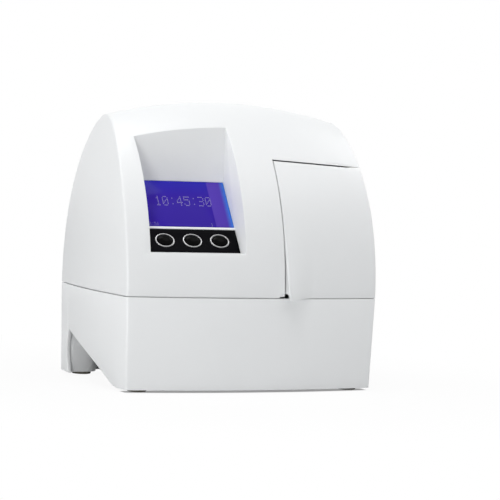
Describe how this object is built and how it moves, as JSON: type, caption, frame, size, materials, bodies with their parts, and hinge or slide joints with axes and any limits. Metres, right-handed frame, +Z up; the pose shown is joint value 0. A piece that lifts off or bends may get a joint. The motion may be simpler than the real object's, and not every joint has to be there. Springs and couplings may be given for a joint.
{
  "type": "glycated hemoglobin analyzer",
  "caption": "Bench-top blood analyzer: crowned white housing with a recessed sloping display and push buttons, and a side-hinged door over a turning cartridge carrier.",
  "frame": {"origin": "middle of the outer box, on the bench plane that the feet stand on", "axes": "+Z up, +X to the right of someone facing the display, -Y towards them"},
  "size_m": [0.205, 0.1432, 0.205],
  "materials": {
    "casing": "white moulded plastic with a fine satin texture",
    "inner_plastic": "light grey satin plastic",
    "black_plastic": "black satin plastic",
    "button_black": "polished black plastic",
    "silver_trim": "silver satin rings",
    "display": "clear glossy window over a blue-violet backlit display",
    "screen": "display module",
    "rubber": "grey-brown rubber",
    "steel": "plain steel",
    "aluminium": "plain aluminium sheet",
    "brass": "turned brass",
    "circuit_board": "green circuit board",
    "gear_plastic": "natural white gear plastic"
  },
  "bodies": {
    "casing": {"base_housing": "casing", "cover": "casing", "chamber_liner": "inner_plastic", "keypad_panel": "black_plastic", "drive_motor": "black_plastic", "index_sensor": "black_plastic", "optics_block": "black_plastic", "power_inlet": "black_plastic", "scanner_port": "black_plastic", "bezel_left": "silver_trim", "bezel_middle": "silver_trim", "bezel_right": "silver_trim", "display_window": "display", "lcd_module": "screen", "rear_right_foot": "rubber", "rear_left_foot": "rubber", "front_right_foot": "rubber", "front_left_foot": "rubber", "cover_screw_1": "steel", "cover_screw_2": "steel", "cover_screw_3": "steel", "cover_screw_4": "steel", "hinge_rod": "steel", "catch_plate": "steel", "serial_port": "steel", "hinge_bracket": "aluminium", "chassis_plate": "aluminium", "heater_shoe": "aluminium", "shaft_bearing": "brass", "keypad_board": "circuit_board", "optics_board": "circuit_board", "main_board": "circuit_board"},
    "door": {"door": "casing", "door_magnet": "steel"},
    "rotor": {"cartridge_rotor": "black_plastic", "rotor_shaft": "steel", "rotor_gear": "gear_plastic", "index_disc": "black_plastic"},
    "pinion": {"motor_pinion": "brass"},
    "left_button": {"button_left": "button_black"},
    "middle_button": {"button_middle": "button_black"},
    "right_button": {"button_right": "button_black"}
  },
  "joints": [
    {"name": "door_swing", "type": "hinge", "parent": "casing", "child": "door", "pos_m": [0.0907, -0.02348, 0.1125], "axis": [0, 0, 1], "range_deg": [0, 90]},
    {"name": "rotor_turn", "type": "hinge", "parent": "casing", "child": "rotor", "pos_m": [0.0445, -0.03148, 0.11], "axis": [0, 1, 0], "continuous": true},
    {"name": "pinion_turn", "type": "hinge", "parent": "casing", "child": "pinion", "pos_m": [0.0445, -0.03148, 0.0812], "axis": [0, 1, 0], "continuous": true},
    {"name": "left_press", "type": "slide", "parent": "casing", "child": "left_button", "axis": [0, 0.807, -0.5906], "range_m": [0, 0.0006], "stiffness_N_per_m": 500},
    {"name": "middle_press", "type": "slide", "parent": "casing", "child": "middle_button", "axis": [0, 0.807, -0.5906], "range_m": [0, 0.0006], "stiffness_N_per_m": 500},
    {"name": "right_press", "type": "slide", "parent": "casing", "child": "right_button", "axis": [0, 0.807, -0.5906], "range_m": [0, 0.0006], "stiffness_N_per_m": 500}
  ],
  "couplings": [
    {"joint": "pinion_turn", "follows": "rotor_turn", "ratio": -3}
  ]
}
